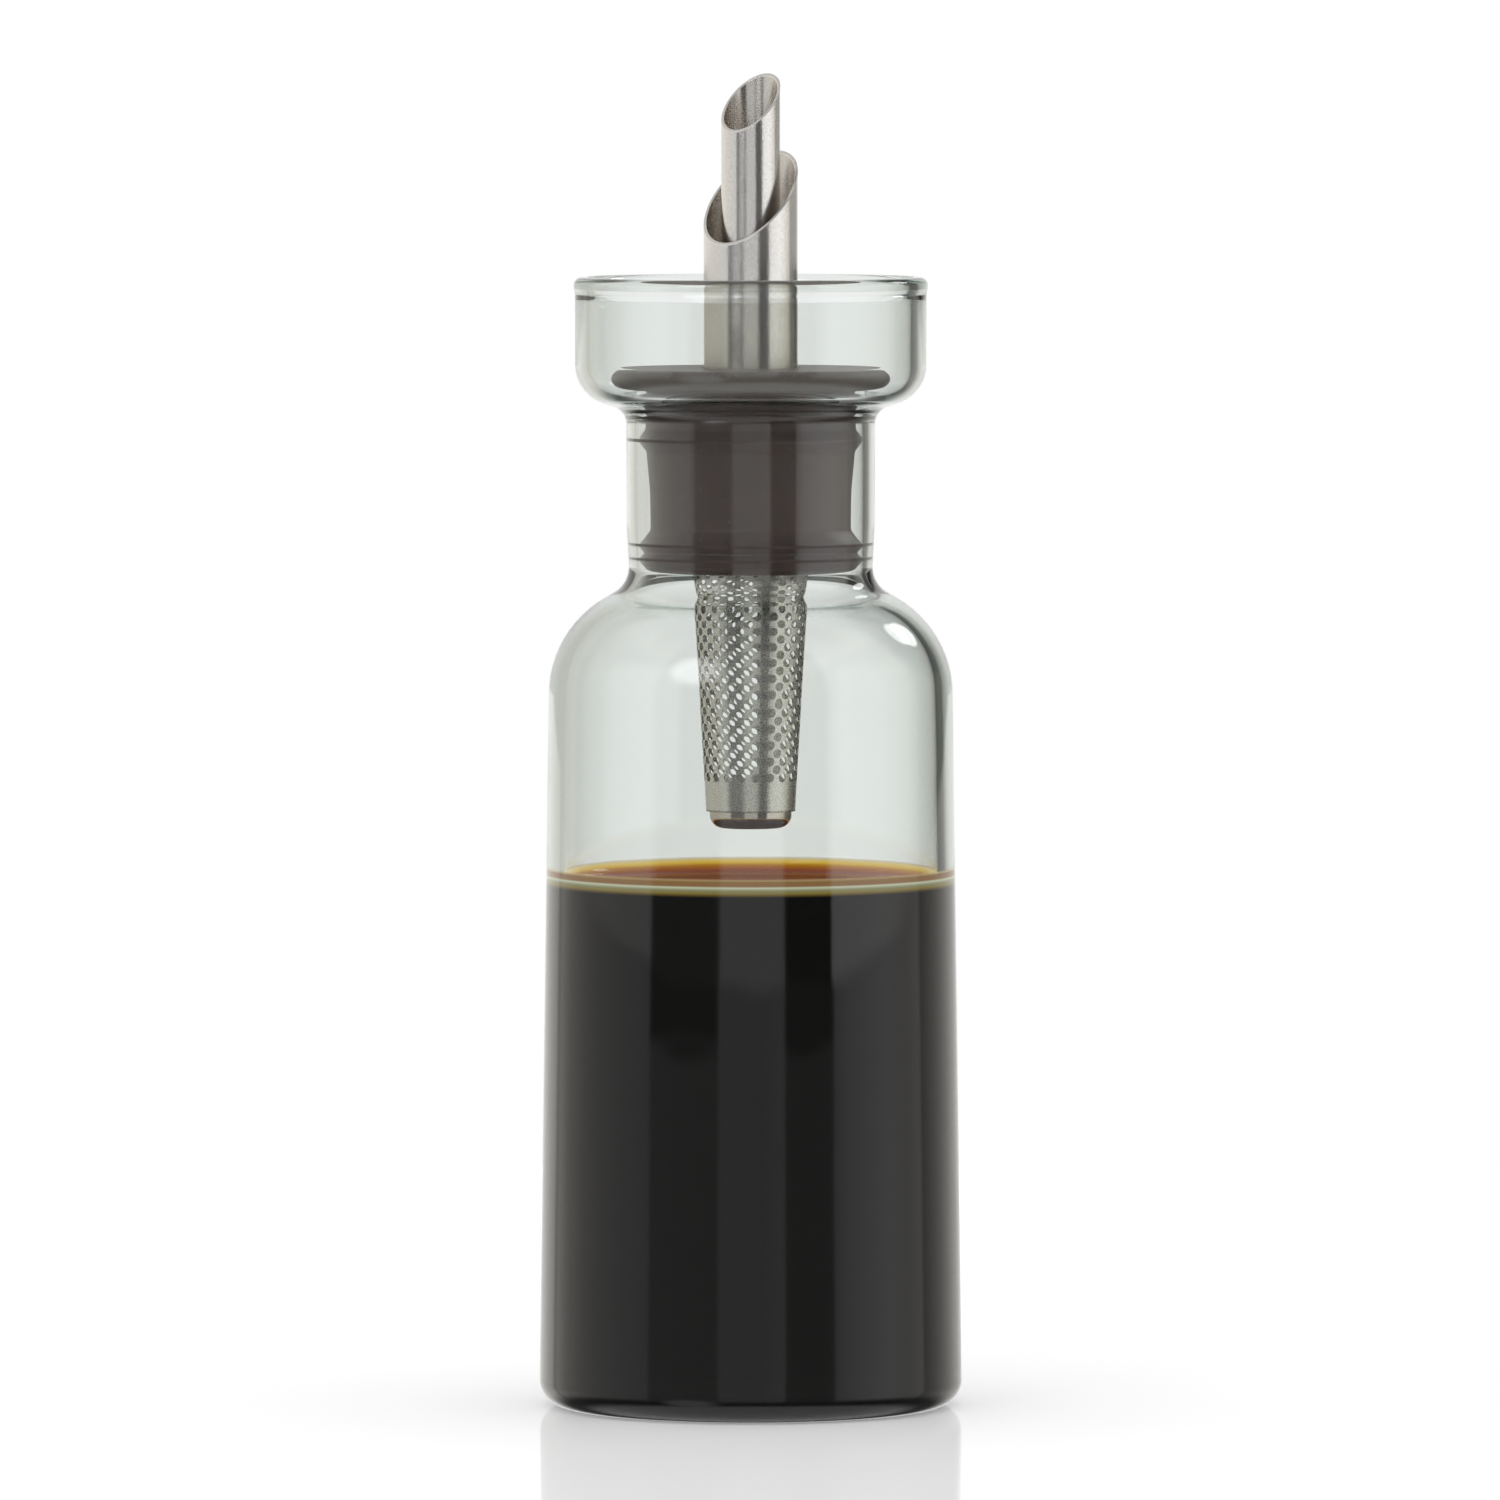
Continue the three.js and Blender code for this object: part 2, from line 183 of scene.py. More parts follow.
def make_piece(name, vertices, faces, sharp_angle=SHARP_ANGLE, loose=False):
    """A mesh object at the origin from vertices in millimetres, its faces turned outwards. Loose faces
    are welded first."""
    mesh = bpy.data.meshes.new(name)
    mesh.from_pydata((np.asarray(vertices) * MM).tolist(), [], faces)
    if loose:
        welded(mesh)
    if signed_volume(mesh) < 0:
        mesh.flip_normals()
    mesh.shade_smooth()
    mesh.set_sharp_from_angle(angle=math.radians(sharp_angle))
    piece = bpy.data.objects.new(name, mesh)
    scene.collection.objects.link(piece)
    print(f"{name}: {len(mesh.polygons)} faces, {signed_volume(mesh) * MILLILITRES:.2f} ml")
    return piece


# %% [markdown]
# ## The glass
# One closed outline goes from the push-up under the base up the outside, over the rolled rim, and
# down the inside to the floor. The wall is real, about 3 mm, because light bends at both of its
# faces. A single sheet with a thickness modifier could not give the thick rim or the push-up. Each
# corner is (radius, height) or (radius, height, rounding).

# %% Turn the glass
GLASS_AROUND = 192
FLOOR_RADIUS, FLOOR_Z, FLOOR_ROUND = 33.0, 3.5, 4.6
INNER_SHOULDER = (31.23, 130.93)
GLASS_CORNERS = [
    (0, 1.0), (24.9, 1.0, 3), (27.55, 0, 1.2),
    (36.04, 0, 4.5), (34.212, 132.2, 19),
    (20.75, 140.0, 5), (20.75, 143.5, 20), (21.1, 150, 20), (21.15, 169.3, 3),
    (29.84, 172.35, 7), (29.86, 189.2, 0.5), (30.06, 190.1, 0.5), (30.06, 192.1, 1.4),
    (26.9, 192.1, 1.4), (26.9, 189.8, 0.8), (27.2, 188.3, 0.8), (27.2, 173.75, 4.7),
    (19.0, 170.6, 2), (19.0, 137.99, 7.2), (*INNER_SHOULDER, 16),
    (FLOOR_RADIUS, FLOOR_Z, FLOOR_ROUND), (0, FLOOR_Z),
]
bottle_glass = make_piece("bottle_glass", *turned(rounded(GLASS_CORNERS), GLASS_AROUND))
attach(bottle_glass, "bottle")
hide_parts("bottle")

# %% [markdown]
# ## The liquid
# The bottle is half full of a nearly black liquid, clear amber where it is thin. It climbs the glass
# in a curved edge, the meniscus. Its side reaches a hair into the glass wall, so that no film of air
# shows between them, and the skin of the meniscus meets the wall in a thin tail. A fluid simulation
# would be far too coarse for that tail, so the liquid is one more turned profile.

# %% Pour the liquid
CONTACT_Z = 91.85
MENISCUS_HEIGHT = 3.5
MENISCUS_REACH = 6.0
INTO_GLASS = 0.05
LIQUID_AROUND = 160
WALL_START_Z = 12
WALL_STEPS, SKIN_STEPS = 40, 36
SIDE_LINE_END = (31.0, 147.4)
SKIN_MIDDLE = (18.0, 9.0, 0.0)


def glass_inside(z):
    """Inner radius of the tapered body at a height."""
    return np.interp(z, (FLOOR_Z, INNER_SHOULDER[1]), (FLOOR_RADIUS, INNER_SHOULDER[0]))


def liquid_profile():
    """Floor, side and skin. On the skin (reach / R) ** 0.5 + (rise / H) ** 0.5 = 1, a curve that leaves
    the wall upright and runs out level. The rings of the side crowd together towards the contact line."""
    floor_z = FLOOR_Z - INTO_GLASS
    line_end = (SIDE_LINE_END[0] + INTO_GLASS, SIDE_LINE_END[1])
    foot = rounded([(0, floor_z), (FLOOR_RADIUS + INTO_GLASS, floor_z, FLOOR_ROUND), line_end])[:-1]
    step = np.linspace(0, 1, WALL_STEPS)[:, None]
    z = WALL_START_Z + (CONTACT_Z - WALL_START_Z) * (1 - (1 - step) ** 3)
    wall = np.hstack([glass_inside(z) + INTO_GLASS, z])
    share = np.linspace(0, 1, SKIN_STEPS)[1:]
    reach = MENISCUS_REACH * share ** 2
    fall = MENISCUS_HEIGHT * (1 - (1 - share) ** 2)
    skin = np.stack([glass_inside(CONTACT_Z) + INTO_GLASS - reach, CONTACT_Z - fall], -1)
    middle = np.array([(radius, skin[-1, 1]) for radius in SKIN_MIDDLE])
    return np.concatenate([foot, wall, skin, middle])


liquid = make_piece("liquid", *turned(liquid_profile(), LIQUID_AROUND), sharp_angle=60)
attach(liquid, "bottle")
print("liquid stands", round(CONTACT_Z - MENISCUS_HEIGHT, 2), "mm high")

# %% [markdown]
# ## The stopper
# A single silicone moulding: a round-edged flange, a ring that fills the mouth of the neck, a slightly
# waisted plug with one seal rib near the top and two near the foot, and a stepped bore. The ring and
# the ribs are squeezed against the glass, so their tips reach a hair into it and show as dark rings
# right across the neck. The upper rib leans a little to one side, as a soft stopper does when it is
# pushed in by hand, so only part of it touches. That lean is a smooth bump in the sideways place.

# %% Turn the stopper
STOPPER_AROUND = 160
UPPER_RIB_Z = 164.6
RIB_LEAN = 0.05
RIB_REACH = 1.5
STOPPER_CORNERS = [
    (14, 141.8), (18.1, 141.8, 2.0), (18.1, 143.3, 0.4), (19.04, 144.3, 0.25), (19.04, 144.7, 0.25),
    (18.0, 145.7, 0.3), (19.04, 146.7, 0.25), (19.04, 147.1, 0.25), (18.1, 148.1, 0.5),
    (17, 149.6, 1.2), (17.1, 156.0, 20), (17.7, 162.6, 1.2), (19.0, 164.4, 0.25), (19.0, 164.8, 0.25),
    (17.85, 166.4, 1.2), (17.85, 168.1, 0.4), (19.04, 168.7, 0.2), (19.04, 169.5, 0.3),
    (17.85, 170.4, 0.5), (17.85, 173.2, 2.4), (23.7, 173.2, 1.75), (23.7, 176.8, 1.75),
    (8.65, 176.8, 0.2), (8.15, 176.3, 0.2), (8.15, 154, 0.1), (6.6, 154, 0.3), (6.6, 150, 0.1),
    (10.01, 150, 0.3), (10.01, 141.8, 0.5), (14, 141.8),
]
vertices, faces = turned(rounded(STOPPER_CORNERS)[:-1], STOPPER_AROUND, closed=True)
vertices[:, 0] -= RIB_LEAN * np.exp(-((vertices[:, 2] - UPPER_RIB_Z) / RIB_REACH) ** 2)
stopper_body = make_piece("stopper_body", vertices, faces)
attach(stopper_body, "stopper")
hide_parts("stopper")

# %% [markdown]
# ## The double spout
# Two thin tubes, one inside the other, both cut off at the same slant. A slanted cut is a height that
# depends on the angle, so the tube stays one grid: up the outside, over the cut with its two broken
# edges, and down the inside. A boolean cut would leave long thin faces round the lip.

# %% Roll and cut the tubes
LIP_AZIMUTH = math.radians(55)
LIP_SLOPE = math.radians(45)
TUBE_FOOT_Z = 154.3
TUBE_WALL = 0.5
EDGE_BREAK = 0.09
TUBE_AROUND = 192
TUBE_RINGS = 24
TUBES = (("outer_spout", 8, 205.6), ("inner_spout", 5, 221.7))


def cut_tube(radius, lip_z):
    """Grid of a tube cut by the plane z = lip + r cos(angle - lip azimuth) tan(slope).
    Up the outside and down the inside a point at share s has z = foot + s (cut - foot)."""
    inner = radius - TUBE_WALL
    share = np.linspace(0, 1, TUBE_RINGS)
    corner_radii = [radius, radius - EDGE_BREAK, inner + EDGE_BREAK, inner]
    radii = np.repeat(corner_radii, [TUBE_RINGS, 1, 1, TUBE_RINGS])
    shares = np.concatenate([share, [1, 1], share[::-1]])[:, None]
    drop = np.zeros((len(radii), 1))
    drop[[TUBE_RINGS - 1, TUBE_RINGS + 2]] = EDGE_BREAK
    angle = np.arange(TUBE_AROUND) * 2 * np.pi / TUBE_AROUND
    cut = lip_z + radii[:, None] * np.cos(angle - LIP_AZIMUTH) * math.tan(LIP_SLOPE)
    height = TUBE_FOOT_Z + shares * (cut - TUBE_FOOT_Z) - drop
    grid = np.stack([radii[:, None] * np.cos(angle), radii[:, None] * np.sin(angle), height], -1)
    index = np.arange(len(radii) * TUBE_AROUND).reshape(len(radii), TUBE_AROUND)
    return grid.reshape(-1, 3), woven(index, closed=True)


spouts = {}
for node, radius, lip_z in TUBES:
    tube = make_piece(node + "_tube", *cut_tube(radius, lip_z), sharp_angle=12)
    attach(tube, "spout")
    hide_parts(node)
    spouts[node] = tube

# %% [markdown]
# ## The strainer
# A sheet of steel with 450 round holes, rolled into a slightly tapered sleeve with a plain seam up its
# back. Cutting the holes with booleans would be slow and messy. The holes stand in staggered rows, so
# the sheet splits into equal six-sided cells, and every cell is the same small ring of faces between
# its hole and its edge. In the cells of the seam the hole has no size. Only the two toothed ends have
# to be filled up to plain bands.

# %% Lay out the perforated sheet
HOLES_ROUND = 20
HOLE_ROWS = 25
HOLE_RADIUS = 0.78
FIRST_ROW_Z = 107.3
ROW_STEP = 1.385
STRAINER_WALL = 0.22
SLEEVE_FOOT = (7.57, 101.4)
COLLAR = (9.86, 141.8)
COLLAR_TOP_Z = 149.7
MIDDLE_Z = 120
SIDE_STEPS = 3
HALF_PITCH = math.pi / HOLES_ROUND
SLEEVE_TURN = math.radians(6.4)
SEAM_STEPS = (5, 8)


def sleeve_radius(z):
    """Outer radius: a straight taper from the foot to the collar, then upright."""
    return np.interp(z, (SLEEVE_FOOT[1], COLLAR[1]), (SLEEVE_FOOT[0], COLLAR[0]))


def cell_edge():
    """Edge of one cell, in half pitches across and rows up from its hole: the six points where three
    cells meet, with each side between them cut in equal parts."""
    corner = np.array([(1, 1), (0, 2), (-1, 1), (-1, -1), (0, -2), (1, -1)]) / (1, 3)
    share = np.arange(SIDE_STEPS)[None, :, None] / SIDE_STEPS
    return (corner[:, None] * (1 - share) + np.roll(corner, -1, 0)[:, None] * share).reshape(-1, 2)


def sheet_cells():
    """Angle and height of every cell's edge and hole. A hole is round on the sheet: at turn t its angle
    is off by radius cos t / sleeve radius, and its height by radius sin t."""
    row, column = np.meshgrid(np.arange(HOLE_ROWS), np.arange(HOLES_ROUND), indexing="ij")
    step = 2 * column + row % 2
    plain = (step >= SEAM_STEPS[0]) & (step <= SEAM_STEPS[1])
    middle = (step * HALF_PITCH + SLEEVE_TURN)[..., None]
    height = (FIRST_ROW_Z + row * ROW_STEP)[..., None]
    across, up = cell_edge().T * ((HALF_PITCH,), (ROW_STEP,))
    radius = sleeve_radius(height)
    turn = np.arctan2(up, across * radius)
    edge = np.stack([middle + across, height + up], -1)
    size = np.where(plain, 0, HOLE_RADIUS)[..., None]
    hole = np.stack([middle + size * np.cos(turn) / radius, height + size * np.sin(turn)], -1)
    return edge, hole, ~plain


edge, hole, pierced = sheet_cells()
print(int(pierced.sum()), "holes, pitch", round(2 * HALF_PITCH * float(sleeve_radius(MIDDLE_Z)), 2), "mm")

# %% [markdown]
# The end rows leave a line of teeth. A plain band starts on that line and moves in a few equal steps
# to a level edge: one band at the foot, one up to the collar and one for the collar itself.

# %% Fill the ends up to plain bands
FOOT_LEVELS, HEAD_LEVELS, COLLAR_LEVELS = 5, 2, 4


def toothed_end(row, way):
    """The line of cell corners along an end row: the height is row + way (2 - |step|) / 3."""
    step = np.linspace(-1, 1, 2 * SIDE_STEPS + 1)
    angle = (2 * np.arange(HOLES_ROUND)[:, None] + row % 2 + step) * HALF_PITCH + SLEEVE_TURN
    height = FIRST_ROW_Z + (row + way * (2 - np.abs(step)) / 3) * ROW_STEP
    return np.stack([angle, np.broadcast_to(height, angle.shape)], -1)


def band(line, end_z, levels):
    """Copies of a line of sheet points that move in equal steps to one height."""
    share = np.linspace(0, 1, levels)[:, None, None]
    height = line[..., 1] + share * (end_z - line[..., 1])
    return np.stack([np.broadcast_to(line[..., 0], height.shape), height], -1)


foot_band = band(toothed_end(0, -1), SLEEVE_FOOT[1], FOOT_LEVELS)
head_band = band(toothed_end(HOLE_ROWS - 1, 1), COLLAR[1], HEAD_LEVELS)
collar_band = band(head_band[-1], COLLAR_TOP_Z, COLLAR_LEVELS)
print("plain bands:", [each.shape[0] for each in (foot_band, head_band, collar_band)], "rings")

# %% [markdown]
# Now the flat layout is rolled up. Each wall is the layout at one depth, and short walls join the two
# at the holes and the ends. A thickness modifier could do that too, and would hide how it is joined.

# %% Roll the sleeve and join its faces


def rolled(points, depth):
    """Sheet points on the sleeve: (r cos a, r sin a, z) with r the sleeve's radius less the depth."""
    radius = sleeve_radius(points[..., 1]) - depth
    angle = points[..., 0]
    return np.stack([radius * np.cos(angle), radius * np.sin(angle), points[..., 1]], -1)


def between(a, b, ring=False):
    """Four-sided faces between two lines of points, or between two closed rings of points."""
    if ring:
        a, b = (np.concatenate([line, line[..., :1, :]], -2) for line in (a, b))
    faces = np.stack([a[..., :-1, :], a[..., 1:, :], b[..., 1:, :], b[..., :-1, :]], -2)
    return faces.reshape(-1, 3)


faces = [between(rolled(hole[pierced], 0), rolled(hole[pierced], STRAINER_WALL), ring=True)]
for depth in (0, STRAINER_WALL):
    faces.append(between(rolled(edge, depth), rolled(hole, depth), ring=True))
    faces += [between(rolled(each[:-1], depth), rolled(each[1:], depth))
              for each in (foot_band, head_band, collar_band)]
for end in (foot_band[-1], collar_band[-1]):
    faces.append(between(rolled(end, 0), rolled(end, STRAINER_WALL)))
corners = np.concatenate(faces)
loose_faces = np.arange(len(corners)).reshape(-1, 4).tolist()
sleeve = make_piece("strainer_sheet", corners, loose_faces, loose=True)
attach(sleeve, "strainer")
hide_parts("strainer_sleeve")

# %% [markdown]
# A small pressed cup closes the foot of the sleeve. It sits inside the sleeve, and its round corner
# shows below it. It is one more turned profile.

# %% Turn the end cup
CUP_AROUND = 128
CUP_CORNERS = [
    (0, 98.5), (6.98, 98.5, 2.2), (6.98, 104.4, 0.1),
    (6.48, 104.4, 0.1), (6.48, 99, 1.7), (0, 99),
]
end_cup = make_piece("strainer_foot_cup", *turned(rounded(CUP_CORNERS), CUP_AROUND))
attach(end_cup, "strainer")
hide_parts("strainer_end_cup")

# %% [markdown]
# ## Finishes
# Every finish is a small tree of nodes. One helper adds a node with its values and links. What more
# than one finish shows, a fine speckle and stray dust, is a group that is built once and placed in
# each finish with its own scale.

# %% Add nodes and groups


def add(tree, kind, inputs=None, **settings):
    """One shader node: settings are its own properties, inputs are values or the outputs that feed them."""
    made = tree.nodes.new("ShaderNode" + kind)
    for name, value in settings.items():
        setattr(made, name, value)
    for name, value in (inputs or {}).items():
        if isinstance(value, bpy.types.NodeSocket):
            tree.links.new(value, made.inputs[name])
        else:
            made.inputs[name].default_value = value
    return made


def new_group(name, inputs, outputs):
    """An empty node group with named number sockets, and its two end nodes."""
    tree = bpy.data.node_groups.new(name, "ShaderNodeTree")
    for label, value in inputs.items():
        tree.interface.new_socket(label, in_out="INPUT", socket_type="NodeSocketFloat").default_value = value
    for label in outputs:
        tree.interface.new_socket(label, in_out="OUTPUT", socket_type="NodeSocketFloat")
    return tree, tree.nodes.new("NodeGroupInput").outputs, tree.nodes.new("NodeGroupOutput").inputs


# %% [markdown]
# The two shared groups. They put out a mask from 0 to 1 and leave the shader to the finish.

# %% Fine speckle and stray dust


def speckle_group():
    """Fine uneven grain: a noise, sharpened round its middle value."""
    tree, given, wanted = new_group("fine_speckle", {"Scale": 3000.0, "Contrast": 0.2}, ["Speckle"])
    place = add(tree, "TexCoord").outputs["Object"]
    noise = add(tree, "TexNoise", {"Vector": place, "Scale": given["Scale"], "Detail": 3.0, "Roughness": 0.6})
    low = add(tree, "Math", {0: 0.5, 1: given["Contrast"]}, operation="SUBTRACT")
    high = add(tree, "Math", {0: 0.5, 1: given["Contrast"]}, operation="ADD")
    sharp = add(tree, "MapRange", {"Value": noise.outputs["Fac"], "From Min": low.outputs[0],
                                   "From Max": high.outputs[0]})
    tree.links.new(sharp.outputs["Result"], wanted["Speckle"])
    return tree


def dust_group():
    """Stray specks: a few of the cells of a Voronoi pattern get a small soft dot."""
    tree, given, wanted = new_group("stray_dust", {"Scale": 900.0, "Share": 0.1, "Size": 0.2}, ["Dust"])
    place = add(tree, "TexCoord").outputs["Object"]
    cells = add(tree, "TexVoronoi", {"Vector": place, "Scale": given["Scale"]})
    dot = add(tree, "MapRange", {"Value": cells.outputs["Distance"], "From Min": 0.0,
                                 "From Max": given["Size"], "To Min": 1.0, "To Max": 0.0})
    chance = add(tree, "SeparateColor", {"Color": cells.outputs["Color"]})
    chosen = add(tree, "Math", {0: chance.outputs["Red"], 1: given["Share"]}, operation="LESS_THAN")
    dust = add(tree, "Math", {0: dot.outputs["Result"], 1: chosen.outputs[0]}, operation="MULTIPLY")
    tree.links.new(dust.outputs[0], wanted["Dust"])
    return tree


SPECKLE, DUST = speckle_group(), dust_group()
print("groups:", SPECKLE.name, DUST.name)

# %% [markdown]
# A few more helpers, so that each finish below is a short list of what lies on what.

# %% Mix, ramp and wear


def placed(tree, group, output, **values):
    """A shared group in a finish, with its own values."""
    made = add(tree, "Group", node_tree=group)
    for name, value in values.items():
        made.inputs[name].default_value = value
    return made.outputs[output]


def blended(tree, factor, first, second):
    """A colour between two colours, by a factor."""
    made = add(tree, "Mix", data_type="RGBA")
    tree.links.new(factor, made.inputs[0])
    for socket, value in ((made.inputs[6], first), (made.inputs[7], second)):
        if isinstance(value, bpy.types.NodeSocket):
            tree.links.new(value, socket)
        else:
            socket.default_value = (*value, 1)
    return made.outputs[2]


def ramped(tree, value, stops):
    """Outputs of a colour ramp with (position, colour) stops."""
    ramp = add(tree, "ValToRGB", {"Fac": value})
    marks = ramp.color_ramp.elements
    marks.remove(marks[1])
    marks[0].position, marks[0].color = stops[0]
    for position, colour in stops[1:]:
        marks.new(position).color = colour
    return ramp.outputs


def ranged(tree, value, low, high):
    """A 0 to 1 value moved to a range."""
    return add(tree, "MapRange", {"Value": value, "To Min": low, "To Max": high}).outputs["Result"]


def new_finish(name, **sockets):
    """A material with a Principled node, its plain values set on the sockets."""
    material = bpy.data.materials.new(name)
    material.use_nodes = True
    shader = material.node_tree.nodes["Principled BSDF"]
    for label, value in sockets.items():
        shader.inputs[label.replace("_", " ")].default_value = value
    return material, material.node_tree, shader.inputs


def height_of(tree):
    """The height of the surface, in metres."""
    return add(tree, "SeparateXYZ", {"Vector": add(tree, "TexCoord").outputs["Object"]}).outputs["Z"]


def risen(tree, low_z, high_z):
    """0 below one height in millimetres and 1 above another."""
    ends = {"From Min": low_z * MM, "From Max": high_z * MM}
    return add(tree, "MapRange", {"Value": height_of(tree), **ends}).outputs["Result"]


def wear(material, *pieces):
    """Give pieces one finish all over."""
    for piece in pieces:
        piece.data.materials.clear()
        piece.data.materials.append(material)


# %% [markdown]
# ### Smoke glass
# Clear glass is a smooth surface that lets light through. Its smoke tint lies in the body of the glass
# and not on its face, so thick edges are darker than thin walls: that is an absorbing volume. The faces
# are very slightly wavy, as in glass that was blown into a mould.

# %% Smoke glass
GLASS_TINT = (0.712, 0.769, 0.731, 1)
GLASS_DENSITY = 160.0
WAVE_SCALE = 45.0
WAVE_DEPTH = 0.0006

smoke_glass, tree, glass = new_finish(
    "smoke_glass", Base_Color=(1, 1, 1, 1), Roughness=0.0, IOR=1.5, Transmission_Weight=1.0)
place = add(tree, "TexCoord").outputs["Object"]
waves = add(tree, "TexNoise", {"Vector": place, "Scale": WAVE_SCALE, "Detail": 1.0})
bump = add(tree, "Bump", {"Height": waves.outputs["Fac"], "Strength": 0.12, "Distance": WAVE_DEPTH})
tree.links.new(bump.outputs["Normal"], glass["Normal"])
tint = add(tree, "VolumeAbsorption", {"Color": GLASS_TINT, "Density": GLASS_DENSITY})
tree.links.new(tint.outputs["Volume"], tree.nodes["Material Output"].inputs["Volume"])
wear(smoke_glass, bottle_glass)
print("glass takes up light at", GLASS_DENSITY, "per metre")

# %% [markdown]
# ### Dark liquid
# Deep liquid swallows all light, so its side against the glass is plain dark with no gloss of its own:
# the gloss there belongs to the glass. Its skin is glossy, and runs from black through red brown and
# amber to clear where the meniscus thins out. An absorbing volume could give that, but in a film of a
# few tenths of a millimetre between two faces it comes out noisy. So the light that gets through the
# thin edge is a glow whose colour depends only on the height below the contact line.

# %% Dark liquid


SIDE_STOPS = [
    (0.06, (0, 0, 0, 1)), (0.155, (0.09, 0.06, 0.012, 1)), (0.26, (0.22, 0.17, 0.04, 1)),
    (0.36, (0.215, 0.20, 0.09, 1)), (0.44, (0.30, 0.31, 0.18, 1)), (0.49, (0.46, 0.47, 0.33, 1)),
    (0.53, (0.52, 0.53, 0.40, 1)), (0.56, (0.40, 0.36, 0.24, 1)), (0.60, (0.24, 0.13, 0.055, 1)),
    (0.80, (0.21, 0.105, 0.04, 0.92)), (0.96, (0.21, 0.105, 0.04, 0)),
]
SKIN_STOPS = [
    (0.0, (0.02, 0.005, 0.003, 1)), (0.12, (0.125, 0.03, 0.016, 1)), (0.25, (0.18, 0.036, 0.012, 1)),
    (0.35, (0.235, 0.06, 0.009, 1)), (0.45, (0.32, 0.105, 0.006, 1)), (0.55, (0.40, 0.18, 0.01, 1)),
    (0.65, (0.60, 0.37, 0.03, 1)), (0.75, (0.66, 0.48, 0.11, 0.95)), (0.85, (0.70, 0.58, 0.27, 0.7)),
    (0.96, (0.65, 0.60, 0.40, 0.0)),
]


def thin_light(tree, shader, stops):
    """Glow and clearness from the foot of the meniscus to the contact line, by (share of height, colour)."""
    colour = ramped(tree, risen(tree, CONTACT_Z - MENISCUS_HEIGHT, CONTACT_Z), stops)
    tree.links.new(colour["Color"], shader["Emission Color"])
    tree.links.new(colour["Alpha"], shader["Alpha"])


liquid_side, tree, shader = new_finish(
    "liquid_against_glass", Base_Color=(0.009, 0.0085, 0.008, 1), Roughness=1.0,
    Specular_IOR_Level=0.0, Emission_Strength=1.0)
thin_light(tree, shader, SIDE_STOPS)
liquid_skin, tree, shader = new_finish(
    "liquid_skin", Base_Color=(0.010, 0.003, 0.0015, 1), Roughness=0.03, IOR=1.36, Emission_Strength=1.0)
thin_light(tree, shader, SKIN_STOPS)

# %% Put the skin on the faces that meet the air
FACING_UP = 0.02
wear(liquid_side, liquid)
liquid.data.materials.append(liquid_skin)
normals = np.empty(3 * len(liquid.data.polygons), np.float32)
liquid.data.polygons.foreach_get("normal", normals)
meets_air = normals.reshape(-1, 3)[:, 2] > FACING_UP
liquid.data.polygons.foreach_set("material_index", meets_air.astype(np.int32))
print(int(meets_air.sum()), "faces of the liquid meet the air")

# %% [markdown]
# ### Silicone
# Dark warm grey and matte, with the fine grain of the mould and a little pale dust, which silicone always
# collects. The flange is painted paler than the plug, as painted light for the light that falls on it from
# above. Its upper edge gets pale dust together with a painted sheen, the light edge that silicone shows at a
# glancing angle. Both follow the height, so one finish serves the whole moulding. Two finishes would leave a
# hard line.

# %% Silicone
PLUG_COLOURS = ((0.077, 0.048, 0.042), (0.105, 0.067, 0.059))
# painted light: the flange colours are paler than the plug's for the light that falls on the flange from
# above
FLANGE_LIT_COLOURS = ((0.124, 0.102, 0.090), (0.172, 0.145, 0.129))
# a pale colour for the stray dust, and for the painted sheen on the flange's upper edge
PALE_DUST_AND_SHEEN = (0.36, 0.34, 0.31)
FLANGE_LIT_FROM_Z, FLANGE_LIT_TO_Z = 171.5, 174
# the flange's upper edge, where pale dust and a painted sheen lie
DUST_AND_SHEEN_FROM_Z, DUST_AND_SHEEN_TO_Z = 175.2, 176.6
MOULD_GRAIN_DEPTH = 0.00004

dark_silicone, tree, shader = new_finish("dark_silicone", IOR=1.41, Specular_IOR_Level=0.6)
grain = placed(tree, SPECKLE, "Speckle", Scale=5200.0, Contrast=0.25)
dust = placed(tree, DUST, "Dust", Scale=1100.0, Share=0.16, Size=0.16)
plug = blended(tree, grain, *PLUG_COLOURS)
# painted light: a paler, lit copy of the silicone colours for the flange
lit_flange = blended(tree, grain, *FLANGE_LIT_COLOURS)
base = blended(tree, risen(tree, FLANGE_LIT_FROM_Z, FLANGE_LIT_TO_Z), plug, lit_flange)
# painted sheen: pale dust crowds on the flange's upper edge, for the light edge silicone shows at a glancing
# angle
dust_and_sheen = placed(tree, DUST, "Dust", Scale=3400.0, Share=0.45, Size=0.5)
on_top = risen(tree, DUST_AND_SHEEN_FROM_Z, DUST_AND_SHEEN_TO_Z)
dust_and_sheen = add(tree, "Math", {0: dust_and_sheen, 1: on_top}, operation="MULTIPLY").outputs[0]
base = blended(tree, dust_and_sheen, base, PALE_DUST_AND_SHEEN)
tree.links.new(blended(tree, dust, base, PALE_DUST_AND_SHEEN), shader["Base Color"])
tree.links.new(ranged(tree, grain, 0.34, 0.5), shader["Roughness"])
bump = add(tree, "Bump", {"Height": grain, "Strength": 0.35, "Distance": MOULD_GRAIN_DEPTH})
tree.links.new(bump.outputs["Normal"], shader["Normal"])
wear(dark_silicone, stopper_body)
print("silicone on", stopper_body.name)

# %% [markdown]
# ### Stainless steel
# The tubes are satin, brushed round: bands of the studio show in them, smeared up and down, with speckled
# edges. Inside they are duller, and below the rim of the drip cup they get painted shade, darker and warmer,
# where less light reaches them. The strainer's sheet has less relief, with grime in its joint with the end
# cup, and the end cup is the smoothest. Each could have a tree of its own, but one tree with other values
# keeps them alike.

# %% Steel
STEEL_GRAIN = 3600.0
SCRATCH_SLANT = math.radians(-38)
SCRATCH_SCALE = (4200, 4200, 260)


def tinted(colour, tint):
    """A colour times a tint."""
    return tuple(level * share for level, share in zip(colour, tint))


